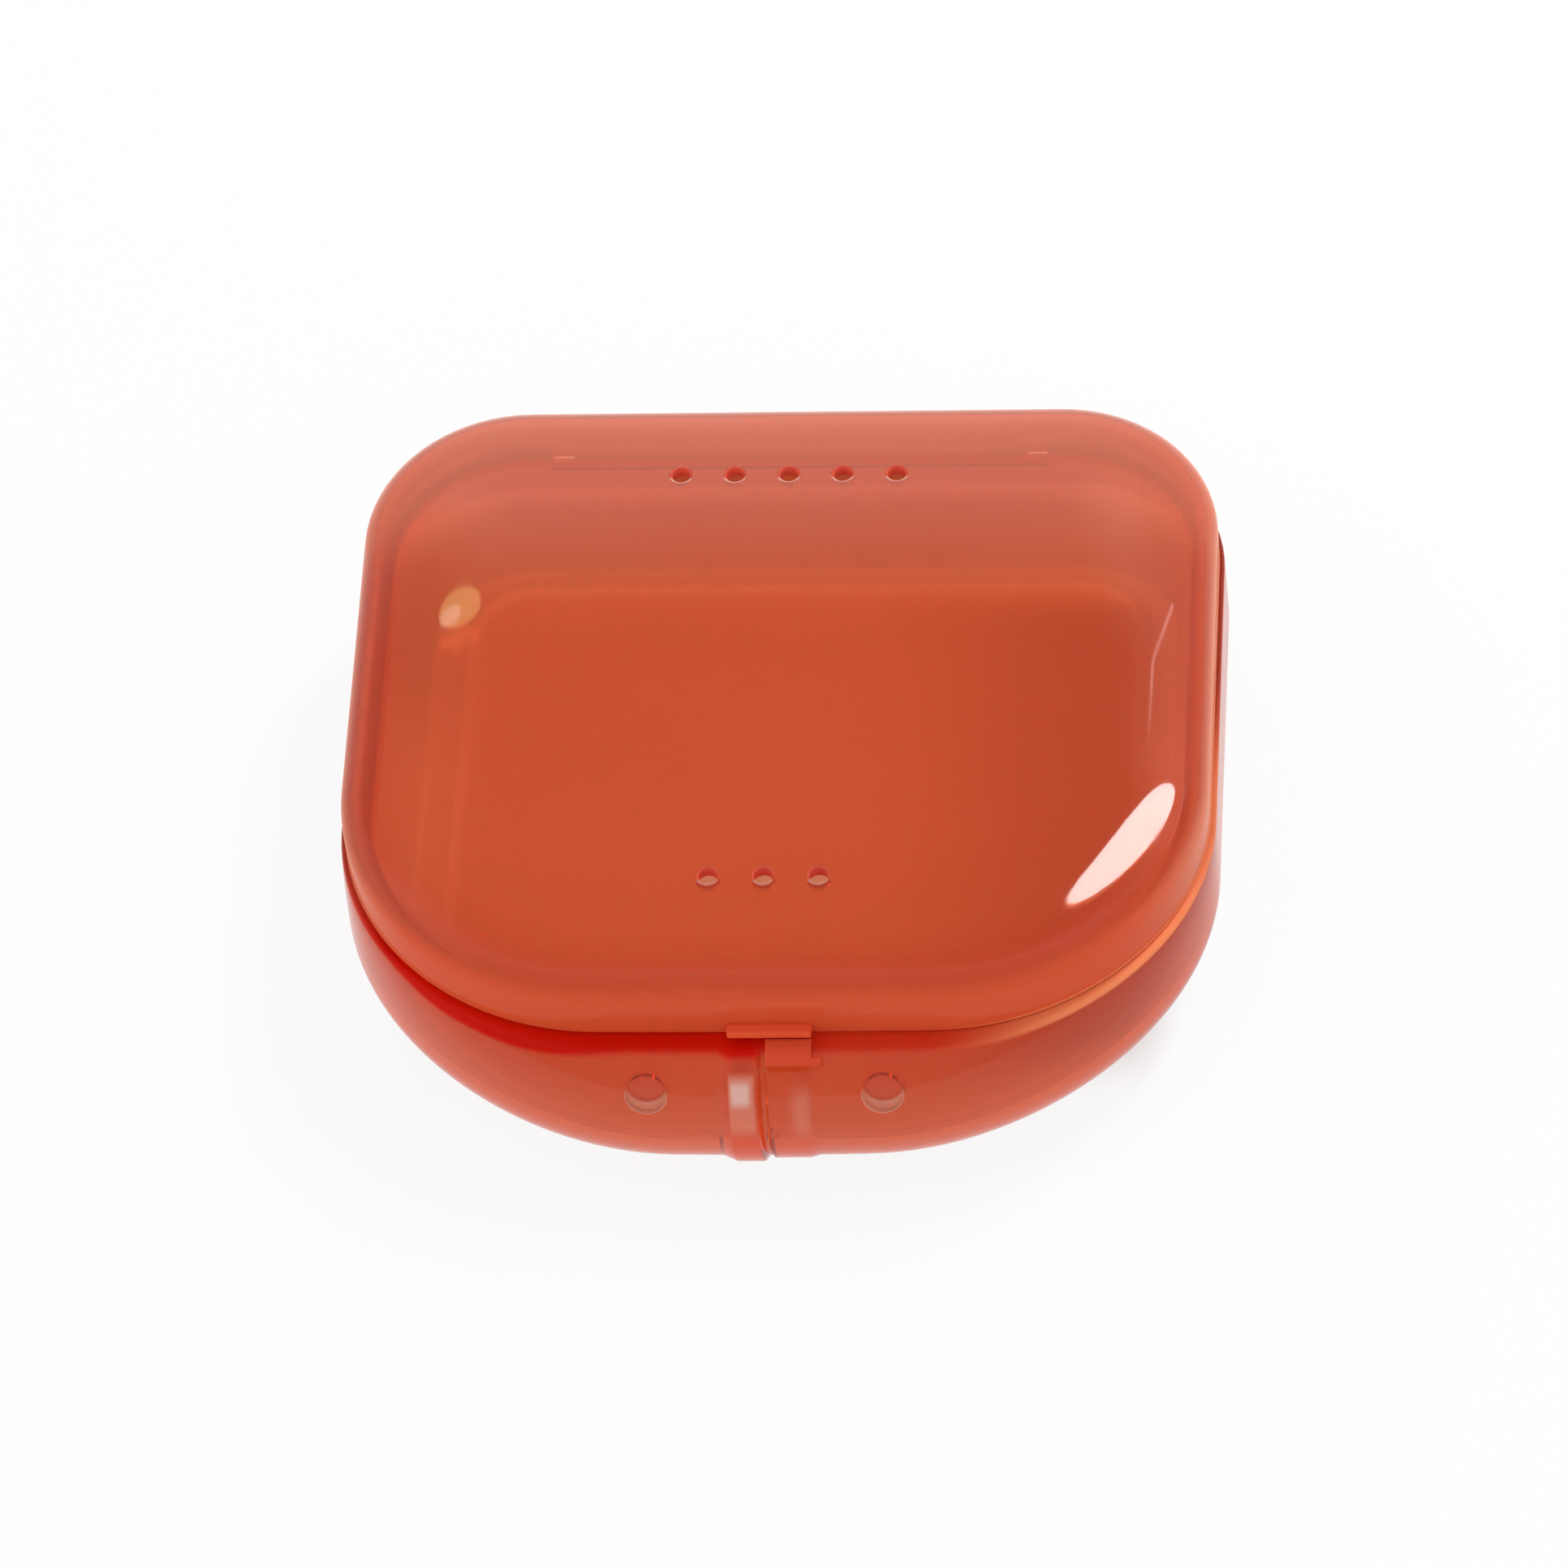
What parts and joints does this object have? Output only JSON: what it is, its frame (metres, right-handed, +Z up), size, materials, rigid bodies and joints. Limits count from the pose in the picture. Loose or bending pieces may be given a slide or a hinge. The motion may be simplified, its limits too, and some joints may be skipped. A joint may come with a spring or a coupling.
{
  "type": "orthodontic retainer case",
  "caption": "Hinged translucent plastic case with a bowl-shaped base, a crowned vented lid, hinge pegs and a front latch tab, for a dental retainer.",
  "frame": {"origin": "on the table, under the middle of the lid", "axes": "+X to the right along the hinge, +Y to the hinge at the back, +Z up"},
  "size_m": [0.081, 0.0775, 0.0257],
  "materials": {
    "shell": "translucent red-orange moulded plastic, glossy",
    "peg": "translucent red-orange moulded plastic, glossy",
    "tab": "translucent red-orange moulded plastic, glossy"
  },
  "bodies": {
    "base": {"base_shell": "shell"},
    "lid": {"lid_shell": "shell", "hinge_peg_left": "peg", "hinge_peg_right": "peg"},
    "latch": {"latch_tab": "tab"}
  },
  "joints": [
    {"name": "lid_hinge", "type": "hinge", "parent": "base", "child": "lid", "pos_m": [0, 0.035, 0.0167], "axis": [-1, 0, 0], "range_deg": [0, 170]},
    {"name": "latch_flex", "type": "hinge", "parent": "lid", "child": "latch", "pos_m": [0.0023, -0.03607, 0.01727], "axis": [-1, 0, 0], "range_deg": [0, 10], "stiffness_Nm_per_rad": 0.002}
  ]
}
